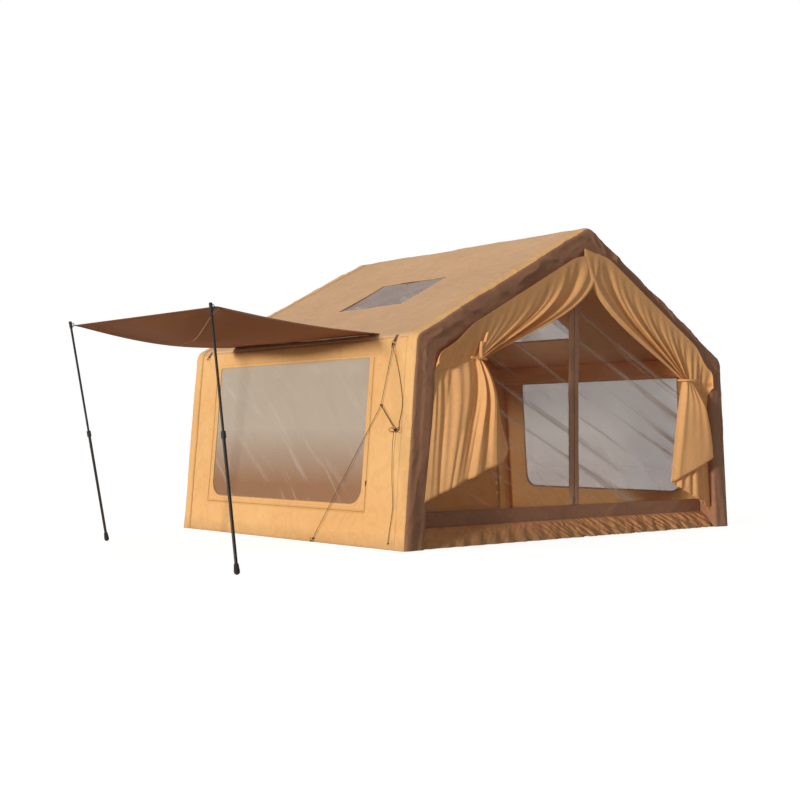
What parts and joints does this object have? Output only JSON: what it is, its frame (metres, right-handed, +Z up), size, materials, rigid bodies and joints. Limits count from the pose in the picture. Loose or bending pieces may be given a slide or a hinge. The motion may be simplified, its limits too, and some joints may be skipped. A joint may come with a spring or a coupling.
{
  "type": "inflatable tent",
  "caption": "Inflatable ridge tent with an air-beam frame, clear side and roof windows, tied-back front curtains and a side awning held up on slanting poles.",
  "frame": {"origin": "on the ground, under the middle of the whole tent with its awning and poles", "axes": "+X across the front towards the side without an awning, +Y from the front opening to the rear wall, +Z up"},
  "size_m": [5.6578, 3.2886, 2.4785],
  "materials": {
    "shell_cloth": "plain woven polyester-cotton shell cloth, matt, sand coloured",
    "curtain_cloth": "the same shell cloth, hanging loose",
    "awning_cloth": "coated woven awning cloth, matt",
    "trim_cloth": "folded strip of shell cloth",
    "webbing": "flat woven webbing",
    "rope": "thin braided cord",
    "beam_sleeve": "woven inner sleeve drawn tight round an air tube",
    "clear_film": "soft clear film",
    "zip_tape": "coil zip on its tape",
    "slider_metal": "dull metal slider",
    "ring_metal": "bent wire ring",
    "pole_tube": "dark painted steel tube",
    "pole_fitting": "moulded plastic fitting",
    "pole_rubber": "rubber foot",
    "valve_plastic": "moulded valve"
  },
  "bodies": {
    "tent": {"front_arch_beam": "beam_sleeve", "rear_arch_beam": "beam_sleeve", "ridge_beam": "beam_sleeve", "eave_beam_left": "beam_sleeve", "eave_beam_right": "beam_sleeve", "front_arch_cover": "shell_cloth", "rear_arch_cover": "shell_cloth", "side_wall_left": "shell_cloth", "side_wall_right": "shell_cloth", "roof_panel_left": "shell_cloth", "roof_panel_right": "shell_cloth", "rear_wall": "shell_cloth", "front_sill": "shell_cloth", "front_skirt": "shell_cloth", "side_window_left": "clear_film", "side_window_right": "clear_film", "roof_window_left": "clear_film", "roof_window_right": "clear_film", "window_zip_left": "zip_tape", "window_zip_right": "zip_tape", "curtain_left": "curtain_cloth", "curtain_right": "curtain_cloth", "curtain_flap_right": "curtain_cloth", "curtain_tie_left": "trim_cloth", "curtain_tie_right": "trim_cloth", "front_guy_left_tab": "webbing", "front_guy_right_tab": "webbing", "rear_guy_left_tab": "webbing", "rear_guy_right_tab": "webbing", "front_guy_left_ring": "ring_metal", "front_guy_right_ring": "ring_metal", "rear_guy_left_ring": "ring_metal", "rear_guy_right_ring": "ring_metal", "guy_peg_loop": "webbing", "guy_rope": "rope", "spare_rope": "rope", "valve_left_body": "valve_plastic", "valve_right_body": "valve_plastic"},
    "awning_sheet": {"awning": "awning_cloth", "near_pole_strap": "webbing", "back_pole_strap": "webbing"},
    "near_pole": {"near_pole_head": "pole_fitting", "near_pole_upper": "pole_tube"},
    "near_pole_leg": {"near_pole_lower": "pole_tube", "near_pole_collar": "pole_fitting", "near_pole_foot": "pole_rubber"},
    "back_pole": {"back_pole_head": "pole_fitting", "back_pole_upper": "pole_tube"},
    "back_pole_leg": {"back_pole_lower": "pole_tube", "back_pole_collar": "pole_fitting", "back_pole_foot": "pole_rubber"},
    "door_left": {"door_leaf_left": "clear_film", "door_zip_strip_left": "trim_cloth"},
    "door_right": {"door_leaf_right": "clear_film", "door_zip_strip_right": "trim_cloth"},
    "door_slider": {"door_zip_slider": "slider_metal"},
    "window_left_slider": {"window_slider_left": "slider_metal"},
    "window_right_slider": {"window_slider_right": "slider_metal"},
    "valve_left_lid": {"valve_left_cap": "valve_plastic"},
    "valve_right_lid": {"valve_right_cap": "valve_plastic"}
  },
  "joints": [
    {"name": "awning_fold", "type": "hinge", "parent": "tent", "child": "awning_sheet", "pos_m": [-0.98295, 0.20857, 1.53762], "axis": [0, -1, 0], "range_deg": [0, 20]},
    {"name": "near_pole_fold", "type": "hinge", "parent": "awning_sheet", "child": "near_pole", "pos_m": [-2.71519, -1.20514, 1.55777], "axis": [-0.2743, 0.9318, -0.2379], "range_deg": [0, 24]},
    {"name": "near_pole_telescope", "type": "slide", "parent": "near_pole", "child": "near_pole_leg", "axis": [0.0477, 0.2602, 0.9644], "range_m": [0, 0.5829]},
    {"name": "back_pole_fold", "type": "hinge", "parent": "awning_sheet", "child": "back_pole", "pos_m": [-2.72013, 0.60879, 1.57419], "axis": [-0.2674, 0.9615, 0.0633], "range_deg": [0, 12.8]},
    {"name": "back_pole_telescope", "type": "slide", "parent": "back_pole", "child": "back_pole_leg", "axis": [-0.2599, -0.1352, 0.9561], "range_m": [0, 0.5899]},
    {"name": "door_left_swing", "type": "hinge", "parent": "tent", "child": "door_left", "pos_m": [-0.93155, -1.04803, 0.2503], "axis": [0, 0, 1], "range_deg": [0, 40]},
    {"name": "door_right_swing", "type": "hinge", "parent": "tent", "child": "door_right", "pos_m": [2.58941, -1.04803, 0.2503], "axis": [0, 0, -1], "range_deg": [0, 40]},
    {"name": "door_zip_travel", "type": "slide", "parent": "door_left", "child": "door_slider", "axis": [0, 0, 1], "range_m": [0, 1.8]},
    {"name": "window_left_zip_travel", "type": "slide", "parent": "tent", "child": "window_left_slider", "axis": [0.0797, 0, 0.9968], "range_m": [0, 0.8]},
    {"name": "window_right_zip_travel", "type": "slide", "parent": "tent", "child": "window_right_slider", "axis": [-0.0797, 0, 0.9968], "range_m": [0, 0.8]},
    {"name": "valve_left_cap_hinge", "type": "hinge", "parent": "tent", "child": "valve_left_lid", "pos_m": [-1.04174, 1.63577, 0.296], "axis": [-1, 0, 0], "range_deg": [0, 110]},
    {"name": "valve_right_cap_hinge", "type": "hinge", "parent": "tent", "child": "valve_right_lid", "pos_m": [2.6996, 1.63577, 0.296], "axis": [-1, 0, 0], "range_deg": [0, 110]}
  ],
  "couplings": [
    {"joint": "near_pole_fold", "follows": "awning_fold", "ratio": 1.1999},
    {"joint": "back_pole_fold", "follows": "awning_fold", "ratio": 0.6399},
    {"joint": "near_pole_telescope", "follows": "awning_fold", "m_per_rad": 1.6695},
    {"joint": "back_pole_telescope", "follows": "awning_fold", "m_per_rad": 1.6895}
  ]
}
